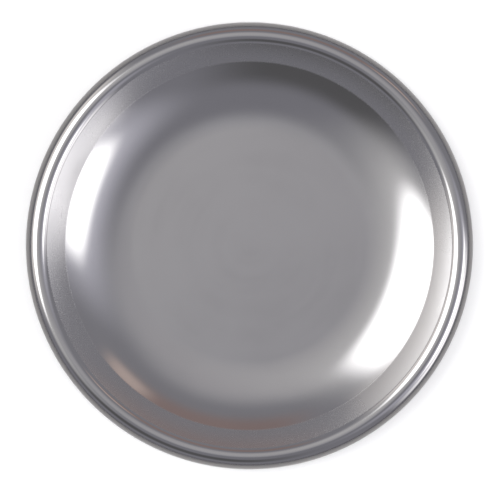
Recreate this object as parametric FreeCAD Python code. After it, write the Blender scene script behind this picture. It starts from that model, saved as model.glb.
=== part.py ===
import FreeCAD, Part

import math
import os

# A round shallow pan pressed from one stainless sheet, with a hollow rolled rim.
# Frame: millimetres, +Z up, origin at the centre of the flat underside of the base.
# A radius of the sheet is that of its upper surface unless the name says otherwise.

# Driving dimensions
OUTER_DIAMETER = 160.0       # across the rolled rim
SHEET = 0.8                  # thickness of the stainless sheet
FLAT_RADIUS = 41.6           # flat middle of the floor
FLOOR_ARC_RADIUS = 58.0      # slow upward curve around the flat middle
FLOOR_EDGE_SLOPE = 24.7      # degrees from level, where the slow curve ends
CORNER_RADIUS = 3.0          # tighter curve from the floor into the side wall
WALL_SLOPE = 33.5            # degrees from level, where the side wall begins
WALL_END_SLOPE = 27.0        # degrees from level, where the slightly crowned wall ends
RIM_CORNER_RADIUS = 1.2      # small corner where the wall turns up into the rim
RIM_SLOPE = 37.0             # degrees from level, where the rolled rim begins
BEAD_RADIUS = 4.8            # outside of the rolled rim's round section
CURL_SWEEP = 318.0           # degrees that the sheet is rolled through

AXIS = FreeCAD.Vector(0, 0, 1)
ORIGIN = FreeCAD.Vector(0, 0, 0)


def point(radius, height):
    """A point of the half section, which lies in the XZ plane."""
    return FreeCAD.Vector(radius, 0, height)


def polar(start, distance, degrees):
    """The point at a distance from another; 0 degrees points outwards and 90 up."""
    angle = math.radians(degrees)
    return point(start.x + distance * math.cos(angle), start.z + distance * math.sin(angle))


def line(start, end):
    """A straight edge of the section."""
    return Part.LineSegment(start, end).toShape()


def arc(centre, radius, first, last):
    """A round edge of the section, from one direction of its centre to another."""
    middle = (first + last) / 2.0
    places = [polar(centre, radius, angle) for angle in (first, middle, last)]
    return Part.Arc(*places).toShape()


def revolve(edges):
    """One solid: the closed outline turned a full turn round the pan's axis."""
    section = Part.Face(Part.Wire(edges))
    return section.revolve(ORIGIN, AXIS, 360.0)


# Where the sheet slopes up by s degrees towards the rim and curves upwards, it lies in
# the direction s - 90 from its centre of curvature.
FLOOR_EDGE_ANGLE = FLOOR_EDGE_SLOPE - 90.0
WALL_ANGLE = WALL_SLOPE - 90.0
WALL_END_ANGLE = WALL_END_SLOPE - 90.0
RIM_ANGLE = RIM_SLOPE - 90.0
FLOOR_CENTRE = point(FLAT_RADIUS, SHEET + FLOOR_ARC_RADIUS)
FLOOR_EDGE = polar(FLOOR_CENTRE, FLOOR_ARC_RADIUS, FLOOR_EDGE_ANGLE)
CORNER_CENTRE = polar(FLOOR_EDGE, CORNER_RADIUS, FLOOR_EDGE_ANGLE + 180.0)
CORNER_TOP = polar(CORNER_CENTRE, CORNER_RADIUS, WALL_ANGLE)

# The wall is crowned, so its centre of curvature lies below it. It runs through a small
# corner into the inner side of the rim's round section.
BEAD_FIRST = RIM_ANGLE + 180.0
BEAD_LAST = BEAD_FIRST - CURL_SWEEP
BEAD_HOLLOW_RADIUS = BEAD_RADIUS - SHEET
BEAD_CENTRE_RADIUS = OUTER_DIAMETER / 2.0 - BEAD_RADIUS
WALL_TOP_RADIUS = BEAD_CENTRE_RADIUS + BEAD_RADIUS * math.cos(math.radians(BEAD_FIRST))
RIM_SINE = math.sin(math.radians(RIM_SLOPE))
WALL_SINE = math.sin(math.radians(WALL_SLOPE))
WALL_END_SINE = math.sin(math.radians(WALL_END_SLOPE))
RIM_CORNER_WIDTH = RIM_CORNER_RADIUS * (RIM_SINE - WALL_END_SINE)
WALL_WIDTH = WALL_TOP_RADIUS - RIM_CORNER_WIDTH - CORNER_TOP.x
WALL_RADIUS = WALL_WIDTH / (WALL_SINE - WALL_END_SINE)
WALL_CENTRE = polar(CORNER_TOP, WALL_RADIUS, WALL_ANGLE)
WALL_END = polar(WALL_CENTRE, WALL_RADIUS, WALL_END_ANGLE + 180.0)
RIM_CORNER_CENTRE = polar(WALL_END, RIM_CORNER_RADIUS, WALL_END_ANGLE + 180.0)
WALL_TOP = polar(RIM_CORNER_CENTRE, RIM_CORNER_RADIUS, RIM_ANGLE)
WALL_TOP_UNDER = polar(WALL_TOP, SHEET, RIM_ANGLE)
BEAD_CENTRE = polar(WALL_TOP, BEAD_RADIUS, RIM_ANGLE)


def dished_floor():
    """The flat middle and the slow curve around it, up to the tighter corner."""
    under_radius = FLOOR_ARC_RADIUS + SHEET
    under_edge = polar(FLOOR_CENTRE, under_radius, FLOOR_EDGE_ANGLE)
    return revolve([
        line(point(0, 0), point(FLAT_RADIUS, 0)),
        arc(FLOOR_CENTRE, under_radius, -90.0, FLOOR_EDGE_ANGLE),
        line(under_edge, FLOOR_EDGE),
        arc(FLOOR_CENTRE, FLOOR_ARC_RADIUS, FLOOR_EDGE_ANGLE, -90.0),
        line(point(FLAT_RADIUS, SHEET), point(0, SHEET)),
        line(point(0, SHEET), point(0, 0)),
    ])


def side_wall():
    """The low crowned wall, with the corner below it and the small one under the rim."""
    under_radius = CORNER_RADIUS + SHEET
    rim_under_radius = RIM_CORNER_RADIUS + SHEET
    wall_under_radius = WALL_RADIUS - SHEET
    wall_first = WALL_ANGLE + 180.0
    wall_last = WALL_END_ANGLE + 180.0
    under_edge = polar(CORNER_CENTRE, under_radius, FLOOR_EDGE_ANGLE)
    return revolve([
        arc(CORNER_CENTRE, under_radius, FLOOR_EDGE_ANGLE, WALL_ANGLE),
        arc(WALL_CENTRE, wall_under_radius, wall_first, wall_last),
        arc(RIM_CORNER_CENTRE, rim_under_radius, WALL_END_ANGLE, RIM_ANGLE),
        line(WALL_TOP_UNDER, WALL_TOP),
        arc(RIM_CORNER_CENTRE, RIM_CORNER_RADIUS, RIM_ANGLE, WALL_END_ANGLE),
        arc(WALL_CENTRE, WALL_RADIUS, wall_last, wall_first),
        arc(CORNER_CENTRE, CORNER_RADIUS, WALL_ANGLE, FLOOR_EDGE_ANGLE),
        line(FLOOR_EDGE, under_edge),
    ])


def rolled_rim():
    """The sheet rolled outwards and down into a hollow bead, with its end tucked under."""
    end_outside = polar(BEAD_CENTRE, BEAD_RADIUS, BEAD_LAST)
    end_inside = polar(BEAD_CENTRE, BEAD_HOLLOW_RADIUS, BEAD_LAST)
    return revolve([
        arc(BEAD_CENTRE, BEAD_RADIUS, BEAD_FIRST, BEAD_LAST),
        line(end_outside, end_inside),
        arc(BEAD_CENTRE, BEAD_HOLLOW_RADIUS, BEAD_LAST, BEAD_FIRST),
        line(WALL_TOP_UNDER, WALL_TOP),
    ])


NODES = {
    "dished_floor": dished_floor,
    "side_wall": side_wall,
    "rolled_rim": rolled_rim,
}

os.makedirs("parts", exist_ok=True)
for name, make in NODES.items():
    shape = make()
    if not shape.isValid() or len(shape.Solids) != 1 or shape.Volume <= 0:
        raise ValueError(name + " is not one valid solid")
    shape.exportStep("parts/" + name + ".step")
    box = shape.optimalBoundingBox(False, False)
    print(name, round(shape.Volume, 1), "mm3, heights", round(box.ZMin, 2), "to", round(box.ZMax, 2))
print("wall", round(WALL_WIDTH, 2), "mm wide, crown radius", round(WALL_RADIUS, 1))
print("rim crown at", round(BEAD_CENTRE.z + BEAD_RADIUS, 2))
print("rim underside at", round(BEAD_CENTRE.z - BEAD_RADIUS, 2))
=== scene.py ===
import math

import bpy
import numpy as np
from bpy.props import FloatProperty, FloatVectorProperty, IntProperty, PointerProperty
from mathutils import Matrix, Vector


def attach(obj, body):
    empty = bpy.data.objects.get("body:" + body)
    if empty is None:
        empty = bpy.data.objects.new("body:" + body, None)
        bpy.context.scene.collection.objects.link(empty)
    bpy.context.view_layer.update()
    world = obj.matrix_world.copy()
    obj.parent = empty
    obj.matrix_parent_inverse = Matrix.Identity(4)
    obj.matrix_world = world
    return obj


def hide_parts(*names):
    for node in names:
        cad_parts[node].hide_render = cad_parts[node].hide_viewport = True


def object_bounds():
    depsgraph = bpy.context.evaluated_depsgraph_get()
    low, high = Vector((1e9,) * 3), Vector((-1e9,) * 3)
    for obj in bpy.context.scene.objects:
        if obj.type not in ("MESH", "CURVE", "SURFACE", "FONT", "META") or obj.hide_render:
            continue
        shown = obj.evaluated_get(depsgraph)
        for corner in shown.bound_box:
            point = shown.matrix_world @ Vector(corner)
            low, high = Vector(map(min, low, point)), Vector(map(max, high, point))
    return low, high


bl_info = {
    "name": "Rolled-rim steel pan",
    "version": (1, 0, 0),
    "blender": (4, 5, 0),
    "location": "View3D > Sidebar > Steel pan",
    "description": "A shallow round pan of polished stainless sheet, with its studio",
    "category": "Add Mesh",
}

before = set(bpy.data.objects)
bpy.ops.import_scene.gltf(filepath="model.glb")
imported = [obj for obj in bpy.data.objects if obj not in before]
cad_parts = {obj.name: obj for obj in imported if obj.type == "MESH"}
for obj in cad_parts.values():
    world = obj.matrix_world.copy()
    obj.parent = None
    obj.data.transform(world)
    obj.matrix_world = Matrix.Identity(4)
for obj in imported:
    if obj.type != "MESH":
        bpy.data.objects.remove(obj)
CAD_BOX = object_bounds()
OUTER_DIAMETER = CAD_BOX[1].x - CAD_BOX[0].x
MILLIMETRE = 0.001
FULL_TURN = 2.0 * math.pi
QUARTER_TURN = math.pi / 2.0
SHARP_ANGLE = math.radians(40.0)

# How dull the sheet is: 0 on the polished inside, 1 on the rim's outer side. The same share
# darkens the colour towards the dark dull colour, painted shade for the dark surroundings that
# the outer side reflects; the underside takes UNDERSIDE of it.
POLISHED = 0.0
UNDERSIDE = 0.35

# Where the dullness and the painted shade change on the rim's outer side, in degrees above
# level.
POLISH_END = 58.0
DULL_TOP = 48.0
DULL_BOTTOM = -30.0
UNDERSIDE_TOP = -60.0

# How many points each run of the section has.
POINTS = {
    "flat": 14,
    "floor_arc": 56,
    "floor_arc_under": 40,
    "corner": 14,
    "corner_under": 12,
    "wall": 28,
    "wall_under": 22,
    "rim_corner": 12,
    "rim_corner_under": 10,
    "bead_outside": 130,
    "bead_end": 9,
    "bead_inside": 64,
}


# --- What a user may change -------------------------------------------------------------


class PanSizes(bpy.types.PropertyGroup):
    """Sizes of the pressed sheet; a radius is that of its upper surface."""

    outer_diameter: FloatProperty(
        name="Outer diameter", description="Across the rolled rim",
        default=OUTER_DIAMETER, min=0.01, unit="LENGTH")
    sheet: FloatProperty(
        name="Sheet", description="Thickness of the sheet",
        default=0.8 * MILLIMETRE, min=0.0001, unit="LENGTH")
    flat_radius: FloatProperty(
        name="Flat radius", description="Flat middle of the floor",
        default=41.6 * MILLIMETRE, unit="LENGTH")
    floor_arc_radius: FloatProperty(
        name="Floor arc", description="Radius of the slow curve around the flat middle",
        default=58.0 * MILLIMETRE, unit="LENGTH")
    floor_edge_slope: FloatProperty(
        name="Floor edge slope", description="Slope of the floor where the corner begins",
        default=math.radians(24.7), unit="ROTATION")
    corner_radius: FloatProperty(
        name="Corner radius", description="Radius of the tighter curve up into the wall",
        default=3.0 * MILLIMETRE, unit="LENGTH")
    wall_slope: FloatProperty(
        name="Wall slope", description="Slope of the wall where it begins",
        default=math.radians(33.5), unit="ROTATION")
    wall_end_slope: FloatProperty(
        name="Wall end slope", description="Slope of the slightly crowned wall where it ends",
        default=math.radians(27.0), unit="ROTATION")
    rim_corner_radius: FloatProperty(
        name="Rim corner radius", description="Radius of the small corner below the rim",
        default=1.2 * MILLIMETRE, unit="LENGTH")
    rim_slope: FloatProperty(
        name="Rim slope", description="Slope of the sheet where the rolled rim begins",
        default=math.radians(37.0), unit="ROTATION")
    bead_radius: FloatProperty(
        name="Bead radius", description="Outside radius of the rolled rim's round section",
        default=4.8 * MILLIMETRE, unit="LENGTH")
    curl_sweep: FloatProperty(
        name="Curl sweep", description="Angle that the rim is rolled through",
        default=math.radians(318.0), unit="ROTATION")
    around: IntProperty(
        name="Around", description="Divisions of one full turn", default=384, min=48)


class PanFinish(bpy.types.PropertyGroup):
    """Colour and polish of the stainless sheet."""

    steel: FloatVectorProperty(
        name="Steel", description="Reflection colour of the polished sheet",
        subtype="COLOR", size=3, min=0.0, max=1.0, default=(0.50, 0.49, 0.495))
    worn_steel: FloatVectorProperty(
        name="Worn steel", description="Reflection colour where the sheet is hazed",
        subtype="COLOR", size=3, min=0.0, max=1.0, default=(0.475, 0.465, 0.47))
    # Painted shade: this colour is dark so that the rim's dull outer side looks as dark as the
    # surroundings it reflects.
    dull_painted_dark_steel: FloatVectorProperty(
        name="Dull steel", description="Reflection colour of the rim's dull outer side",
        subtype="COLOR", size=3, min=0.0, max=1.0, default=(0.22, 0.212, 0.21))
    dull_roughness: FloatProperty(
        name="Dull roughness", description="Polish of the rim's dull outer side",
        default=0.3, min=0.0, max=1.0, subtype="FACTOR")
    floor_roughness: FloatProperty(
        name="Floor roughness", description="Polish of the floor",
        default=0.11, min=0.0, max=1.0, subtype="FACTOR")
    wall_roughness: FloatProperty(
        name="Wall roughness", description="Polish of the side wall",
        default=0.24, min=0.0, max=1.0, subtype="FACTOR")
    rim_roughness: FloatProperty(
        name="Rim roughness", description="Polish of the rolled rim",
        default=0.07, min=0.0, max=1.0, subtype="FACTOR")


class PanStudio(bpy.types.PropertyGroup):
    """The floor, the camera and the light around the pan."""

    floor_colour: FloatVectorProperty(
        name="Floor colour", description="Colour of the pale floor",
        subtype="COLOR", size=3, min=0.0, max=1.0, default=(0.87, 0.87, 0.87))
    floor_size: FloatProperty(
        name="Floor size", description="Side of the square floor", default=12.0, unit="LENGTH")
    camera_height: FloatProperty(
        name="Camera height", description="Height of the camera over the rim",
        default=0.9, unit="LENGTH")
    view_width: FloatProperty(
        name="View width", description="Width that the camera sees at the rim",
        default=0.179, unit="LENGTH")
    overhead_energy: FloatProperty(
        name="Overhead light", description="Strength of the light straight above the floor",
        default=1.8, min=0.0)
    overhead_angle: FloatProperty(
        name="Overhead angle", description="Width of the overhead light, which softens shadows",
        default=math.radians(24.0), min=0.0, unit="ROTATION")


# --- The section of the sheet -----------------------------------------------------------


def polar(start, distance, angle):
    """start + distance * (cos angle, sin angle): angle 0 points outwards, a quarter turn up."""
    return np.asarray(start, float) + distance * np.array([math.cos(angle), math.sin(angle)])


def eased(count):
    """Numbers from 0 to 1, (1 - cos(pi u)) / 2 of an even u.

    They crowd towards both ends, so that the shading there meets the next piece's.
    """
    return (1.0 - np.cos(np.linspace(0.0, math.pi, count))) / 2.0


def arc(centre, radius, first, last, count):
    """Points centre + radius * (cos a, sin a), with a eased from first to last."""
    angle = first + (last - first) * eased(count)
    return np.asarray(centre) + radius * np.stack([np.cos(angle), np.sin(angle)], axis=1)


def straight(start, end, count):
    """Points start + u * (end - start), with u eased from 0 to 1."""
    return np.asarray(start) + eased(count)[:, None] * (np.asarray(end) - np.asarray(start))


def section_marks(sizes):
    """The section's centres and meeting points, as (radius, height), and its angles.

    Where the sheet slopes up by s and curves upwards, it lies in the direction s minus a
    quarter turn from its centre of curvature.
    """
    floor_angle = sizes.floor_edge_slope - QUARTER_TURN
    wall_angle = sizes.wall_slope - QUARTER_TURN
    wall_end_angle = sizes.wall_end_slope - QUARTER_TURN
    rim_angle = sizes.rim_slope - QUARTER_TURN
    floor_centre = np.array([sizes.flat_radius, sizes.sheet + sizes.floor_arc_radius])
    floor_edge = polar(floor_centre, sizes.floor_arc_radius, floor_angle)
    corner_centre = polar(floor_edge, sizes.corner_radius, floor_angle + math.pi)
    corner_top = polar(corner_centre, sizes.corner_radius, wall_angle)
    bead_first = rim_angle + math.pi
    bead_centre_radius = sizes.outer_diameter / 2.0 - sizes.bead_radius
    wall_top_radius = bead_centre_radius + sizes.bead_radius * math.cos(bead_first)
    end_sine = math.sin(sizes.wall_end_slope)
    turn_width = sizes.rim_corner_radius * (math.sin(sizes.rim_slope) - end_sine)
    wall_width = wall_top_radius - turn_width - corner_top[0]
    if wall_width <= 0.0:
        raise ValueError("the corners are too large to leave room for the wall")
    wall_radius = wall_width / (math.sin(sizes.wall_slope) - end_sine)
    wall_centre = polar(corner_top, wall_radius, wall_angle)
    wall_end = polar(wall_centre, wall_radius, wall_end_angle + math.pi)
    rim_corner_centre = polar(wall_end, sizes.rim_corner_radius, wall_end_angle + math.pi)
    wall_top = polar(rim_corner_centre, sizes.rim_corner_radius, rim_angle)
    return {
        "floor_angle": floor_angle,
        "wall_angle": wall_angle,
        "wall_end_angle": wall_end_angle,
        "rim_angle": rim_angle,
        "floor_centre": floor_centre,
        "corner_centre": corner_centre,
        "wall_centre": wall_centre,
        "wall_radius": wall_radius,
        "rim_corner_centre": rim_corner_centre,
        "bead_centre": polar(wall_top, sizes.bead_radius, rim_angle),
        "bead_first": bead_first,
        "bead_last": bead_first - sizes.curl_sweep,
    }


def section(*runs):
    """The points of all runs in order, and next to them how dull the sheet is at each, a share
    that also darkens its colour as painted shade.
    """
    joined = np.concatenate([points for points, dullness_and_shade in runs])
    dull = np.concatenate([np.broadcast_to(dullness_and_shade, len(points)) for points, dullness_and_shade in runs])
    return joined, dull


def floor_section(sizes):
    """Upper side from the middle outwards, the cut, then the underside back to the middle."""
    at = section_marks(sizes)
    centre, edge_angle = at["floor_centre"], at["floor_angle"]
    upper, under = sizes.floor_arc_radius, sizes.floor_arc_radius + sizes.sheet
    upper_flat = straight(
        (0.0, sizes.sheet), (sizes.flat_radius, sizes.sheet), POINTS["flat"])
    upper_arc = arc(centre, upper, -QUARTER_TURN, edge_angle, POINTS["floor_arc"])
    under_arc = arc(centre, under, edge_angle, -QUARTER_TURN, POINTS["floor_arc_under"])
    under_flat = straight((sizes.flat_radius, 0.0), (0.0, 0.0), POINTS["flat"])
    return section(
        (upper_flat, POLISHED), (upper_arc[1:], POLISHED),
        (under_arc, UNDERSIDE), (under_flat[1:], UNDERSIDE))


def wall_section(sizes):
    """Upper side from the floor's edge to the rim, then the underside back, as a loop."""
    at = section_marks(sizes)
    low, first, last, high = (
        at["floor_angle"], at["wall_angle"], at["wall_end_angle"], at["rim_angle"])
    sheet, corner, rim_corner = sizes.sheet, sizes.corner_radius, sizes.rim_corner_radius
    crown, back = at["wall_radius"], math.pi
    upper_corner = arc(at["corner_centre"], corner, low, first, POINTS["corner"])
    upper_wall = arc(
        at["wall_centre"], crown, first + back, last + back, POINTS["wall"])
    upper_rim_corner = arc(
        at["rim_corner_centre"], rim_corner, last, high, POINTS["rim_corner"])
    under_rim_corner = arc(
        at["rim_corner_centre"], rim_corner + sheet, high, last, POINTS["rim_corner_under"])
    under_wall = arc(
        at["wall_centre"], crown - sheet, last + back, first + back, POINTS["wall_under"])
    under_corner = arc(
        at["corner_centre"], corner + sheet, first, low, POINTS["corner_under"])
    return section(
        (upper_corner, POLISHED), (upper_wall[1:-1], POLISHED), (upper_rim_corner, POLISHED),
        (under_rim_corner, UNDERSIDE), (under_wall[1:-1], UNDERSIDE), (under_corner, UNDERSIDE))


def rim_section(sizes):
    """Outside of the bead over the crown, its rounded end, then its inside, as a loop.

    On the bead's outer side the polish fades to dull, and the colour darkens as painted shade,
    from POLISH_END down to DULL_TOP, and the dull, darkened side fades to the satin underside
    from DULL_BOTTOM down to UNDERSIDE_TOP.
    """
    at = section_marks(sizes)
    half = sizes.sheet / 2.0
    middle = sizes.bead_radius - half
    last = at["bead_last"] + math.asin(half / middle)
    first = at["bead_first"]
    count = POINTS["bead_outside"]
    outside = arc(at["bead_centre"], sizes.bead_radius, first, last, count)
    above_level = np.degrees(first + (last - first) * eased(count))
    # The dull share also darkens the colour here, as painted shade.
    dull = np.clip((POLISH_END - above_level) / (POLISH_END - DULL_TOP), 0.0, 1.0)
    closeness_to_side = (above_level - UNDERSIDE_TOP) / (DULL_BOTTOM - UNDERSIDE_TOP)
    side = UNDERSIDE + (1.0 - UNDERSIDE) * np.clip(closeness_to_side, 0.0, 1.0)
    end_centre = polar(at["bead_centre"], middle, last)
    end = arc(end_centre, half, last, last - math.pi, POINTS["bead_end"])[1:-1]
    hollow = sizes.bead_radius - sizes.sheet
    inside = arc(at["bead_centre"], hollow, last, first, POINTS["bead_inside"])
    return section((outside, dull * side), (end, UNDERSIDE), (inside, UNDERSIDE))


# --- Surfaces ---------------------------------------------------------------------------


def settled(points, sizes):
    """The small departures from true that a pressed pan has.

    Height gains bow * cos(2a + p) * s^2 + twist * cos(3a + q) * s^3, where a is the angle
    around the axis, s the radius over the outer radius, and p and q the two phases. The
    lowest points, at the base, are never lowered.
    """
    bow, bow_phase = 0.05 * MILLIMETRE, 0.6
    twist, twist_phase = 0.035 * MILLIMETRE, 2.1
    share = np.hypot(points[..., 0], points[..., 1]) / (sizes.outer_diameter / 2.0)
    angle = np.arctan2(points[..., 1], points[..., 0])
    bowed = bow * np.cos(2.0 * angle + bow_phase) * share**2
    lift = bowed + twist * np.cos(3.0 * angle + twist_phase) * share**3
    moved = points.copy()
    moved[..., 2] += np.where(points[..., 2] > sizes.sheet * 0.5, lift, np.maximum(lift, 0.0))
    return moved


def revolved(name, half_section, sizes, has_poles):
    """A mesh object: the point (i, j) is (r_i cos a_j, r_i sin a_j, z_i), turned round Z.

    half_section is the points (r_i, z_i) and how dull the sheet is at each, a share that also
    darkens its colour as painted shade.
    A section with poles starts and ends on the axis, where its faces are triangles; one
    without is a loop, and its last point joins its first.
    """
    around = sizes.around
    profile, dullness_and_shade = half_section
    angle = np.linspace(0.0, FULL_TURN, around, endpoint=False)
    rings = profile[1:-1] if has_poles else profile
    radius, turn = np.meshgrid(rings[:, 0], angle, indexing="ij")
    height = np.repeat(rings[:, 1:2], around, axis=1)
    grid = np.stack([radius * np.cos(turn), radius * np.sin(turn), height], axis=-1)
    grid = settled(grid, sizes)
    count = len(rings)
    index = np.arange(count * around).reshape(count, around)
    here = index[:-1] if has_poles else index
    beyond = index[1:] if has_poles else np.roll(index, -1, axis=0)
    quads = np.stack(
        [here, beyond, np.roll(beyond, -1, axis=1), np.roll(here, -1, axis=1)], axis=-1)
    vertices = grid.reshape(-1, 3)
    dull = np.repeat(dullness_and_shade[1:-1] if has_poles else dullness_and_shade, around)
    faces = quads.reshape(-1, 4).tolist()
    if has_poles:
        poles = [[0.0, 0.0, profile[0, 1]], [0.0, 0.0, profile[-1, 1]]]
        vertices = np.concatenate([vertices, poles])
        dull = np.append(dull, [dullness_and_shade[0], dullness_and_shade[-1]])
        top, bottom = count * around, count * around + 1
        first, last = index[0], index[-1]
        crown = np.stack([np.full(around, top), first, np.roll(first, -1)], axis=1)
        foot = np.stack([np.full(around, bottom), np.roll(last, -1), last], axis=1)
        faces += crown.tolist() + foot.tolist()
    piece = mesh_object(name, vertices, faces)
    piece.data.attributes.new("dullness_and_shade", "FLOAT", "POINT").data.foreach_set("value", dull)
    return piece


def mesh_object(name, vertices, faces):
    """A smooth-shaded object at the origin, with its place in its mesh."""
    mesh = bpy.data.meshes.new(name)
    mesh.from_pydata(vertices.tolist(), [], faces)
    mesh.validate()
    mesh.polygons.foreach_set("use_smooth", np.ones(len(mesh.polygons), dtype=bool))
    mesh.set_sharp_from_angle(angle=SHARP_ANGLE)
    mesh.update()
    piece = bpy.data.objects.new(name, mesh)
    bpy.context.scene.collection.objects.link(piece)
    return piece


# --- Shader nodes -----------------------------------------------------------------------


def add_node(tree, kind, **settings):
    """A node of a tree with its settings given by name."""
    made = tree.nodes.new(kind)
    for setting, value in settings.items():
        setattr(made, setting, value)
    return made


def feed(tree, socket, value):
    """Link a socket to another node's output, or set it to a plain value."""
    if isinstance(value, bpy.types.NodeSocket):
        tree.links.new(value, socket)
    else:
        socket.default_value = value


def calculate(tree, operation, *values, clamp=False):
    """A Math node's output."""
    made = add_node(tree, "ShaderNodeMath", operation=operation, use_clamp=clamp)
    for socket, value in zip(made.inputs, values):
        feed(tree, socket, value)
    return made.outputs[0]


def ramp(tree, value, low, high, to_low=0.0, to_high=1.0):
    """A smooth step: to_low below low, to_high above high, eased between them."""
    made = add_node(tree, "ShaderNodeMapRange", interpolation_type="SMOOTHSTEP")
    for socket, given in zip(made.inputs, (value, low, high, to_low, to_high)):
        feed(tree, socket, given)
    return made.outputs["Result"]


def mixed(tree, factor, first, second):
    """A colour between two others."""
    made = add_node(tree, "ShaderNodeMix", data_type="RGBA")
    feed(tree, made.inputs["Factor"], factor)
    feed(tree, made.inputs["A"], first)
    feed(tree, made.inputs["B"], second)
    return made.outputs["Result"]


def new_group(name, inputs, outputs):
    """A shader node group with its sockets, and its input and output nodes."""
    tree = bpy.data.node_groups.new(name, "ShaderNodeTree")
    for label, (kind, default) in inputs.items():
        socket = tree.interface.new_socket(label, in_out="INPUT", socket_type=kind)
        if default is not None:
            socket.default_value = default
    for label, kind in outputs.items():
        tree.interface.new_socket(label, in_out="OUTPUT", socket_type=kind)
    return tree, add_node(tree, "NodeGroupInput"), add_node(tree, "NodeGroupOutput")


def place_group(tree, group, **values):
    """One use of a group; underscores in the value names stand for spaces."""
    made = add_node(tree, "ShaderNodeGroup", node_tree=group)
    for label, value in values.items():
        feed(tree, made.inputs[label.replace("_", " ")], value)
    return made


def polishing_marks_group():
    """Fine marks that run round the axis, left by the polishing wheel.

    Noise is read at (radius, height, x, y), with radius and height at the marks' pitch and
    x and y much coarser, so that it draws out into long thin arcs and stays even at the axis.
    """
    if "Polishing marks" in bpy.data.node_groups:
        return bpy.data.node_groups["Polishing marks"]
    tree, given, result = new_group(
        "Polishing marks",
        {
            "Vector": ("NodeSocketVector", None),
            "Marks per Metre": ("NodeSocketFloat", 3000.0),
            "Arcs per Metre": ("NodeSocketFloat", 25.0),
        },
        {"Height": "NodeSocketFloat", "Bands": "NodeSocketFloat"})
    parts = add_node(tree, "ShaderNodeSeparateXYZ")
    feed(tree, parts.inputs[0], given.outputs["Vector"])
    x, y, z = parts.outputs
    level = add_node(tree, "ShaderNodeCombineXYZ")
    feed(tree, level.inputs["X"], x)
    feed(tree, level.inputs["Y"], y)
    length = add_node(tree, "ShaderNodeVectorMath", operation="LENGTH")
    feed(tree, length.inputs[0], level.outputs[0])
    radius = length.outputs["Value"]
    pitch, arcs = given.outputs["Marks per Metre"], given.outputs["Arcs per Metre"]
    outputs = {}
    for label, share, detail in (("Height", 1.0, 1.0), ("Bands", 0.08, 2.0)):
        place = add_node(tree, "ShaderNodeCombineXYZ")
        dense = calculate(tree, "MULTIPLY", pitch, share)
        feed(tree, place.inputs["X"], calculate(tree, "MULTIPLY", radius, dense))
        feed(tree, place.inputs["Y"], calculate(tree, "MULTIPLY", z, dense))
        feed(tree, place.inputs["Z"], calculate(tree, "MULTIPLY", x, arcs))
        noise = add_node(tree, "ShaderNodeTexNoise", noise_dimensions="4D")
        feed(tree, noise.inputs["Vector"], place.outputs[0])
        feed(tree, noise.inputs["W"], calculate(tree, "MULTIPLY", y, arcs))
        feed(tree, noise.inputs["Scale"], 1.0)
        feed(tree, noise.inputs["Detail"], detail)
        outputs[label] = noise.outputs["Fac"]
    for label, value in outputs.items():
        feed(tree, result.inputs[label], value)
    return tree


def fine_scratches_group():
    """Short hairline scratches that cross at two angles.

    Each layer is noise stretched along one direction; only the narrow band of values
    next to the middle one counts as a scratch.
    """
    if "Fine scratches" in bpy.data.node_groups:
        return bpy.data.node_groups["Fine scratches"]
    tree, given, result = new_group(
        "Fine scratches",
        {
            "Vector": ("NodeSocketVector", None),
            "Scale": ("NodeSocketFloat", 60.0),
            "Width": ("NodeSocketFloat", 0.006),
        },
        {"Mask": "NodeSocketFloat"})
    masks = []
    for turn, stretch in ((0.5, (1.0, 14.0, 6.0)), (2.1, (11.0, 1.0, 5.0))):
        place = add_node(tree, "ShaderNodeMapping")
        feed(tree, place.inputs["Vector"], given.outputs["Vector"])
        feed(tree, place.inputs["Rotation"], (0.0, 0.0, turn))
        feed(tree, place.inputs["Scale"], stretch)
        noise = add_node(tree, "ShaderNodeTexNoise")
        feed(tree, noise.inputs["Vector"], place.outputs[0])
        feed(tree, noise.inputs["Scale"], given.outputs["Scale"])
        feed(tree, noise.inputs["Detail"], 2.0)
        away = calculate(
            tree, "ABSOLUTE", calculate(tree, "SUBTRACT", noise.outputs["Fac"], 0.5))
        masks.append(ramp(tree, away, given.outputs["Width"], 0.0))
    feed(tree, result.inputs["Mask"], calculate(tree, "MAXIMUM", *masks))
    return tree


def handling_haze_group():
    """Broad soft patches where washing and wiping have dulled the polish."""
    if "Handling haze" in bpy.data.node_groups:
        return bpy.data.node_groups["Handling haze"]
    tree, given, result = new_group(
        "Handling haze",
        {"Vector": ("NodeSocketVector", None), "Scale": ("NodeSocketFloat", 28.0)},
        {"Haze": "NodeSocketFloat"})
    noise = add_node(tree, "ShaderNodeTexNoise")
    feed(tree, noise.inputs["Vector"], given.outputs["Vector"])
    feed(tree, noise.inputs["Scale"], given.outputs["Scale"])
    feed(tree, noise.inputs["Detail"], 4.0)
    feed(tree, result.inputs["Haze"], ramp(tree, noise.outputs["Fac"], 0.35, 0.7))
    return tree


def dull_and_shaded_outside_group():
    """Passes from the polished inside, 0, to the rim's dull outer side, 1: a rougher finish
    there, and a darker colour that is painted shade for the dark surroundings it reflects.
    """
    if "Dull and shaded outside" in bpy.data.node_groups:
        return bpy.data.node_groups["Dull and shaded outside"]
    tree, given, result = new_group(
        "Dull and shaded outside",
        {
            "Dullness": ("NodeSocketFloat", 0.0),
            "Polished Color": ("NodeSocketColor", None),
            "Dull Color": ("NodeSocketColor", None),
            "Polished Roughness": ("NodeSocketFloat", 0.1),
            "Dull Roughness": ("NodeSocketFloat", 0.3),
        },
        {"Color": "NodeSocketColor", "Roughness": "NodeSocketFloat"})
    share = given.outputs["Dullness"]
    # Painted shade: the colour darkens towards the dark dull colour as the share rises.
    feed(tree, result.inputs["Color"],
         mixed(tree, share, given.outputs["Polished Color"], given.outputs["Dull Color"]))
    polished, dull = given.outputs["Polished Roughness"], given.outputs["Dull Roughness"]
    rise = calculate(tree, "SUBTRACT", dull, polished)
    feed(tree, result.inputs["Roughness"],
         calculate(tree, "MULTIPLY_ADD", rise, share, polished))
    return tree


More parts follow.
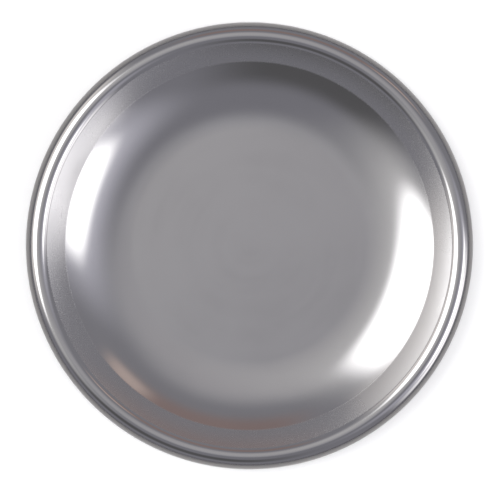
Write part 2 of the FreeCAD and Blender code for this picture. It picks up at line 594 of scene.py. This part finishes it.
def steel_material(name, finish, roughness, mark_depth, scratch_depth, marks_per_metre):
    """Polished stainless steel: concentric marks, hairline scratches and soft haze, with painted
    shade that darkens the rim's dull outer side.
    """
    material = bpy.data.materials.new(name)
    material.use_nodes = True
    tree = material.node_tree
    shader = tree.nodes["Principled BSDF"]
    shader.inputs["Metallic"].default_value = 1.0
    place = add_node(tree, "ShaderNodeTexCoord").outputs["Object"]
    marks = place_group(
        tree, polishing_marks_group(), Vector=place, Marks_per_Metre=marks_per_metre,
        Arcs_per_Metre=25.0)
    scratches = place_group(tree, fine_scratches_group(), Vector=place, Scale=70.0, Width=0.005)
    haze = place_group(tree, handling_haze_group(), Vector=place, Scale=26.0)
    bands = ramp(tree, marks.outputs["Bands"], 0.3, 0.7)
    dull = calculate(tree, "MULTIPLY", haze.outputs["Haze"], calculate(tree, "ADD", bands, 0.4))
    colour = mixed(tree, dull, (*finish.steel, 1.0), (*finish.worn_steel, 1.0))
    haze_rise, scratch_rise = roughness * 0.3, roughness * 0.5
    rougher = calculate(tree, "MULTIPLY_ADD", dull, haze_rise, roughness)
    rougher = calculate(
        tree, "MULTIPLY_ADD", scratches.outputs["Mask"], scratch_rise, rougher)
    # The dullness attribute also mixes in the dark dull colour: painted shade on the rim's outer
    # side, weaker on the underside.
    dullness_and_shade = add_node(tree, "ShaderNodeAttribute", attribute_name="dullness_and_shade").outputs["Fac"]
    surface = place_group(
        tree, dull_and_shaded_outside_group(), Dullness=dullness_and_shade, Polished_Color=colour,
        Dull_Color=(*finish.dull_painted_dark_steel, 1.0), Polished_Roughness=rougher,
        Dull_Roughness=finish.dull_roughness)
    feed(tree, shader.inputs["Base Color"], surface.outputs["Color"])
    feed(tree, shader.inputs["Roughness"], surface.outputs["Roughness"])
    height = calculate(
        tree, "MULTIPLY_ADD", scratches.outputs["Mask"], -scratch_depth,
        calculate(tree, "MULTIPLY", marks.outputs["Height"], mark_depth))
    bump = add_node(tree, "ShaderNodeBump")
    feed(tree, bump.inputs["Strength"], 1.0)
    feed(tree, bump.inputs["Distance"], 1.0)
    feed(tree, bump.inputs["Height"], height)
    feed(tree, shader.inputs["Normal"], bump.outputs[0])
    return material


def pale_floor_material(studio):
    """Matt pale paper with a faint mottle."""
    mottle = 0.985
    material = bpy.data.materials.new("pale_paper")
    material.use_nodes = True
    tree = material.node_tree
    shader = tree.nodes["Principled BSDF"]
    shader.inputs["Roughness"].default_value = 0.8
    noise = add_node(tree, "ShaderNodeTexNoise")
    feed(tree, noise.inputs["Vector"], add_node(tree, "ShaderNodeTexCoord").outputs["Object"])
    feed(tree, noise.inputs["Scale"], 40.0)
    pale = tuple(studio.floor_colour)
    shade = tuple(mottle * part for part in pale)
    feed(tree, shader.inputs["Base Color"],
         mixed(tree, noise.outputs["Fac"], (*pale, 1.0), (*shade, 1.0)))
    return material


# --- The studio -------------------------------------------------------------------------

# The ceiling's colour as light, straight above and at its edge, and the angles from
# straight up between which it passes from the first to the second, in degrees.
CEILING_MIDDLE = (0.535, 0.535, 0.565, 1.0)
CEILING_EDGE = (0.335, 0.335, 0.365, 1.0)
CEILING_FADE = (4.0, 32.0)

# What the camera sees of the room.
PLAIN_WHITE = (1.0, 1.0, 1.0, 1.0)

# The room's walls below its ceiling, in the order in which each covers the ones before it:
# where its middle is (azimuth, 0 towards +X and 90 towards +Y) and its half width, the
# angles from straight up between which it reaches, the softness of its sides and of its
# upper and lower edges, all in degrees, then its colour as light.
ROOM_SIDES = (
    ("south_wall", 275, 75, 8, 130, 60, 12, (0.31, 0.31, 0.345)),
    ("dark_doorway", 247, 32, 31, 54, 30, 12, (0.15, 0.15, 0.155)),
    ("warm_north_wall", 75, 31, 38, 54, 18, 8, (0.38, 0.29, 0.275)),
    ("west_wall", 161, 31, 42, 66, 22, 10, (1.35, 1.3, 1.24)),
    ("east_window", -22, 20, 42, 66, 20, 12, (2.4, 2.38, 2.4)),
)

# The lights, as patches of the flat map in which a direction lies its angle from straight
# up away from the middle: the patch's middle (towards +X and +Y), its half sizes and its
# turn, in degrees, then its softness as a share of its size, and its colour as light.
SOFT_BOXES = (
    ("north_bounce", -5, 13, 17, 12, 0, 0.6, (0.59, 0.58, 0.60)),
    ("warm_lamp", 29, 31, 6, 4, -48, 0.6, (0.78, 0.64, 0.58)),
    ("west_spill", -30, 6, 23, 24, -38, 0.4, (0.78, 0.78, 0.78)),
    ("west_box", -33.2, 8.7, 15.6, 18.5, -38, 0.21, (3.4, 3.4, 3.4)),
    ("east_spill", 34, -11.5, 16, 18, -15, 0.6, (0.85, 0.85, 0.95)),
    ("east_box", 36.8, -11, 9, 12, -15, 0.36, (3.4, 3.4, 3.4)),
)


def room_side_group():
    """One soft-edged side of the room, laid over the colour behind it."""
    tree, given, result = new_group(
        "Room side",
        {
            "Behind": ("NodeSocketColor", None),
            "From Up": ("NodeSocketFloat", 0.0),
            "Bearing X": ("NodeSocketFloat", 0.0),
            "Bearing Y": ("NodeSocketFloat", 0.0),
            "Azimuth": ("NodeSocketFloat", 0.0),
            "Half Width": ("NodeSocketFloat", 20.0),
            "Upper": ("NodeSocketFloat", 20.0),
            "Lower": ("NodeSocketFloat", 60.0),
            "Side Softness": ("NodeSocketFloat", 10.0),
            "Edge Softness": ("NodeSocketFloat", 10.0),
            "Light": ("NodeSocketColor", None),
        },
        {"Light": "NodeSocketColor"})
    azimuth = calculate(tree, "RADIANS", given.outputs["Azimuth"])
    ahead, aside = turned_back(
        tree, given.outputs["Bearing X"], given.outputs["Bearing Y"], azimuth)
    away = calculate(
        tree, "DEGREES", calculate(tree, "ABSOLUTE", calculate(tree, "ARCTAN2", aside, ahead)))

    def window(value, edge, softness, rising):
        half = calculate(tree, "MULTIPLY", softness, 0.5)
        low = calculate(tree, "SUBTRACT", edge, half)
        high = calculate(tree, "ADD", edge, half)
        return ramp(tree, value, low, high) if rising else ramp(tree, value, low, high, 1.0, 0.0)

    edge_softness = given.outputs["Edge Softness"]
    height = given.outputs["From Up"]
    cover = calculate(
        tree, "MULTIPLY",
        window(height, given.outputs["Upper"], edge_softness, True),
        window(height, given.outputs["Lower"], edge_softness, False))
    cover = calculate(
        tree, "MULTIPLY", cover,
        window(away, given.outputs["Half Width"], given.outputs["Side Softness"], False))
    feed(tree, result.inputs["Light"],
         mixed(tree, cover, given.outputs["Behind"], given.outputs["Light"]))
    return tree


def turned_back(tree, x, y, angle):
    """(x, y) seen from axes turned by an angle: (x cos + y sin, y cos - x sin)."""
    along, across = calculate(tree, "COSINE", angle), calculate(tree, "SINE", angle)
    ahead = calculate(
        tree, "ADD",
        calculate(tree, "MULTIPLY", x, along), calculate(tree, "MULTIPLY", y, across))
    aside = calculate(
        tree, "SUBTRACT",
        calculate(tree, "MULTIPLY", y, along), calculate(tree, "MULTIPLY", x, across))
    return ahead, aside


def soft_box_group():
    """A soft box with rounded corners, laid over the colour behind it.

    It covers where (|u|^3 + |v|^3)^(1/3) is under 1, with u and v the distances from its
    middle along its own axes over its half sizes.
    """
    tree, given, result = new_group(
        "Soft box",
        {
            "Behind": ("NodeSocketColor", None),
            "Map X": ("NodeSocketFloat", 0.0),
            "Map Y": ("NodeSocketFloat", 0.0),
            "Middle X": ("NodeSocketFloat", 0.0),
            "Middle Y": ("NodeSocketFloat", 0.0),
            "Half Width": ("NodeSocketFloat", 10.0),
            "Half Height": ("NodeSocketFloat", 10.0),
            "Turn": ("NodeSocketFloat", 0.0),
            "Softness": ("NodeSocketFloat", 0.2),
            "Light": ("NodeSocketColor", None),
        },
        {"Light": "NodeSocketColor"})
    x = calculate(tree, "SUBTRACT", given.outputs["Map X"], given.outputs["Middle X"])
    y = calculate(tree, "SUBTRACT", given.outputs["Map Y"], given.outputs["Middle Y"])
    u, v = turned_back(tree, x, y, calculate(tree, "RADIANS", given.outputs["Turn"]))
    powers = [
        calculate(
            tree, "POWER",
            calculate(tree, "ABSOLUTE", calculate(tree, "DIVIDE", value, given.outputs[size])),
            3.0)
        for value, size in ((u, "Half Width"), (v, "Half Height"))]
    reach = calculate(tree, "POWER", calculate(tree, "ADD", *powers), 1.0 / 3.0)
    softness = given.outputs["Softness"]
    cover = ramp(
        tree, reach, calculate(tree, "SUBTRACT", 1.0, softness),
        calculate(tree, "ADD", 1.0, softness), 1.0, 0.0)
    feed(tree, result.inputs["Light"],
         mixed(tree, cover, given.outputs["Behind"], given.outputs["Light"]))
    return tree


def light_the_room():
    """A dim room with soft boxes and a brighter ceiling; the camera sees it plain white."""
    world = bpy.data.worlds.new("studio_room")
    bpy.context.scene.world = world
    world.use_nodes = True
    tree = world.node_tree
    background = tree.nodes["Background"]
    bearing = add_node(tree, "ShaderNodeSeparateXYZ")
    feed(tree, bearing.inputs[0], add_node(tree, "ShaderNodeTexCoord").outputs["Generated"])
    x, y, z = bearing.outputs
    from_up = calculate(tree, "DEGREES", calculate(tree, "ARCCOSINE", z))
    light = mixed(tree, ramp(tree, from_up, *CEILING_FADE), CEILING_MIDDLE, CEILING_EDGE)
    group = room_side_group()
    for name, azimuth, half, upper, lower, sides, edges, colour in ROOM_SIDES:
        side = place_group(
            tree, group, Behind=light, From_Up=from_up, Bearing_X=x, Bearing_Y=y,
            Azimuth=float(azimuth), Half_Width=float(half), Upper=float(upper),
            Lower=float(lower), Side_Softness=float(sides), Edge_Softness=float(edges),
            Light=(*colour, 1.0))
        side.label = name
        light = side.outputs["Light"]
    least_level = 1e-6
    squares = [calculate(tree, "MULTIPLY", part, part) for part in (x, y)]
    level = calculate(tree, "SQRT", calculate(tree, "ADD", *squares))
    stretch = calculate(tree, "DIVIDE", from_up, calculate(tree, "MAXIMUM", level, least_level))
    map_x, map_y = (calculate(tree, "MULTIPLY", part, stretch) for part in (x, y))
    group = soft_box_group()
    for name, middle_x, middle_y, half_x, half_y, turn, softness, colour in SOFT_BOXES:
        box = place_group(
            tree, group, Behind=light, Map_X=map_x, Map_Y=map_y, Middle_X=float(middle_x),
            Middle_Y=float(middle_y), Half_Width=float(half_x), Half_Height=float(half_y),
            Turn=float(turn), Softness=float(softness), Light=(*colour, 1.0))
        box.label = name
        light = box.outputs["Light"]
    seen = add_node(tree, "ShaderNodeLightPath").outputs["Is Camera Ray"]
    feed(tree, background.inputs["Color"], mixed(tree, seen, light, PLAIN_WHITE))


def overhead_light(studio):
    """A soft light straight down on the floor that does not show in the steel."""
    light = bpy.data.lights.new("overhead_light", "SUN")
    light.angle = studio.overhead_angle
    light.energy = studio.overhead_energy
    lamp = bpy.data.objects.new("overhead_light", light)
    lamp.location = (0.0, 0.0, 1.3)
    lamp.visible_glossy = False
    bpy.context.scene.collection.objects.link(lamp)
    return lamp


def pale_floor(studio):
    """A flat square grid just under the pan's base."""
    reach = studio.floor_size / 2.0
    line_count = 9
    steps = np.linspace(-reach, reach, line_count)
    x, y = np.meshgrid(steps, steps, indexing="ij")
    z = np.full_like(x, CAD_BOX[0].z - 0.1 * MILLIMETRE)
    index = np.arange(x.size).reshape(x.shape)
    quads = np.stack([index[:-1, :-1], index[1:, :-1], index[1:, 1:], index[:-1, 1:]], axis=-1)
    floor = mesh_object(
        "pale_floor", np.stack([x, y, z], axis=-1).reshape(-1, 3), quads.reshape(-1, 4).tolist())
    floor.data.materials.append(pale_floor_material(studio))
    return floor


def overhead_camera(studio, sizes):
    """Looks straight down at the rim; the pan sits a little above the frame's middle."""
    rim_height = section_marks(sizes)["bead_centre"][1]
    data = bpy.data.cameras.new("overhead_camera")
    data.sensor_width = 36.0
    data.lens = data.sensor_width * studio.camera_height / studio.view_width
    data.shift_x = 0.0011
    data.shift_y = -0.0085
    data.clip_start = 0.05
    data.clip_end = 50.0
    camera = bpy.data.objects.new("overhead_camera", data)
    camera.location = (0.0, 0.0, rim_height + studio.camera_height)
    bpy.context.scene.collection.objects.link(camera)
    bpy.context.scene.camera = camera
    return camera


# --- Operators --------------------------------------------------------------------------


def finish_piece(piece, node, material):
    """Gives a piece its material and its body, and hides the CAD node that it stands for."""
    piece.data.materials.append(material)
    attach(piece, "root")
    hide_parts(node)


class STEELPAN_OT_dished_floor(bpy.types.Operator):
    """Make the flat middle of the floor and the slow curve around it"""

    bl_idname = "steelpan.dished_floor"
    bl_label = "Dished floor"

    def execute(self, context):
        sizes, finish = context.scene.pan_sizes, context.scene.pan_finish
        piece = revolved("polished_floor", floor_section(sizes), sizes, has_poles=True)
        material = steel_material(
            "polished_floor_steel", finish, finish.floor_roughness,
            mark_depth=0.6e-6, scratch_depth=0.3e-6, marks_per_metre=2200.0)
        finish_piece(piece, "dished_floor", material)
        return {"FINISHED"}


class STEELPAN_OT_side_wall(bpy.types.Operator):
    """Make the corner and the short wall that carries the rim"""

    bl_idname = "steelpan.side_wall"
    bl_label = "Side wall"

    def execute(self, context):
        sizes, finish = context.scene.pan_sizes, context.scene.pan_finish
        piece = revolved("polished_wall", wall_section(sizes), sizes, has_poles=False)
        material = steel_material(
            "polished_wall_steel", finish, finish.wall_roughness,
            mark_depth=3.0e-6, scratch_depth=0.15e-6, marks_per_metre=600.0)
        finish_piece(piece, "side_wall", material)
        return {"FINISHED"}


class STEELPAN_OT_rolled_rim(bpy.types.Operator):
    """Make the hollow rolled rim, with its end tucked under"""

    bl_idname = "steelpan.rolled_rim"
    bl_label = "Rolled rim"

    def execute(self, context):
        sizes, finish = context.scene.pan_sizes, context.scene.pan_finish
        piece = revolved("bright_rim", rim_section(sizes), sizes, has_poles=False)
        material = steel_material(
            "bright_rim_steel", finish, finish.rim_roughness,
            mark_depth=0.4e-6, scratch_depth=0.3e-6, marks_per_metre=3200.0)
        finish_piece(piece, "rolled_rim", material)
        return {"FINISHED"}


class STEELPAN_OT_stage(bpy.types.Operator):
    """Make the pale floor, the soft light and the camera overhead"""

    bl_idname = "steelpan.stage"
    bl_label = "Studio"

    def execute(self, context):
        sizes, studio = context.scene.pan_sizes, context.scene.pan_studio
        context.scene.view_settings.view_transform = "Standard"
        pale_floor(studio)
        overhead_camera(studio, sizes)
        light_the_room()
        overhead_light(studio)
        return {"FINISHED"}


class STEELPAN_PT_panel(bpy.types.Panel):
    """Buttons that make the pan and its studio"""

    bl_idname = "STEELPAN_PT_panel"
    bl_label = "Steel pan"
    bl_space_type = "VIEW_3D"
    bl_region_type = "UI"
    bl_category = "Steel pan"

    def draw(self, context):
        scene = context.scene
        for settings in (scene.pan_sizes, scene.pan_finish, scene.pan_studio):
            column = self.layout.column(align=True)
            for name in settings.bl_rna.properties.keys():
                if name not in {"rna_type", "name"}:
                    column.prop(settings, name)
        for maker in MAKERS:
            self.layout.operator(maker.bl_idname)


MAKERS = (
    STEELPAN_OT_dished_floor,
    STEELPAN_OT_side_wall,
    STEELPAN_OT_rolled_rim,
    STEELPAN_OT_stage,
)
CLASSES = (PanSizes, PanFinish, PanStudio, *MAKERS, STEELPAN_PT_panel)
SETTINGS = {"pan_sizes": PanSizes, "pan_finish": PanFinish, "pan_studio": PanStudio}


def register():
    for made in CLASSES:
        bpy.utils.register_class(made)
    for name, group in SETTINGS.items():
        setattr(bpy.types.Scene, name, PointerProperty(type=group))


def unregister():
    for name in SETTINGS:
        delattr(bpy.types.Scene, name)
    for made in reversed(CLASSES):
        bpy.utils.unregister_class(made)


def main():
    """Registers the classes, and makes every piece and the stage."""
    register()
    bpy.ops.steelpan.dished_floor()
    bpy.ops.steelpan.side_wall()
    bpy.ops.steelpan.rolled_rim()
    bpy.ops.steelpan.stage()


if __name__ == "__main__":
    main()
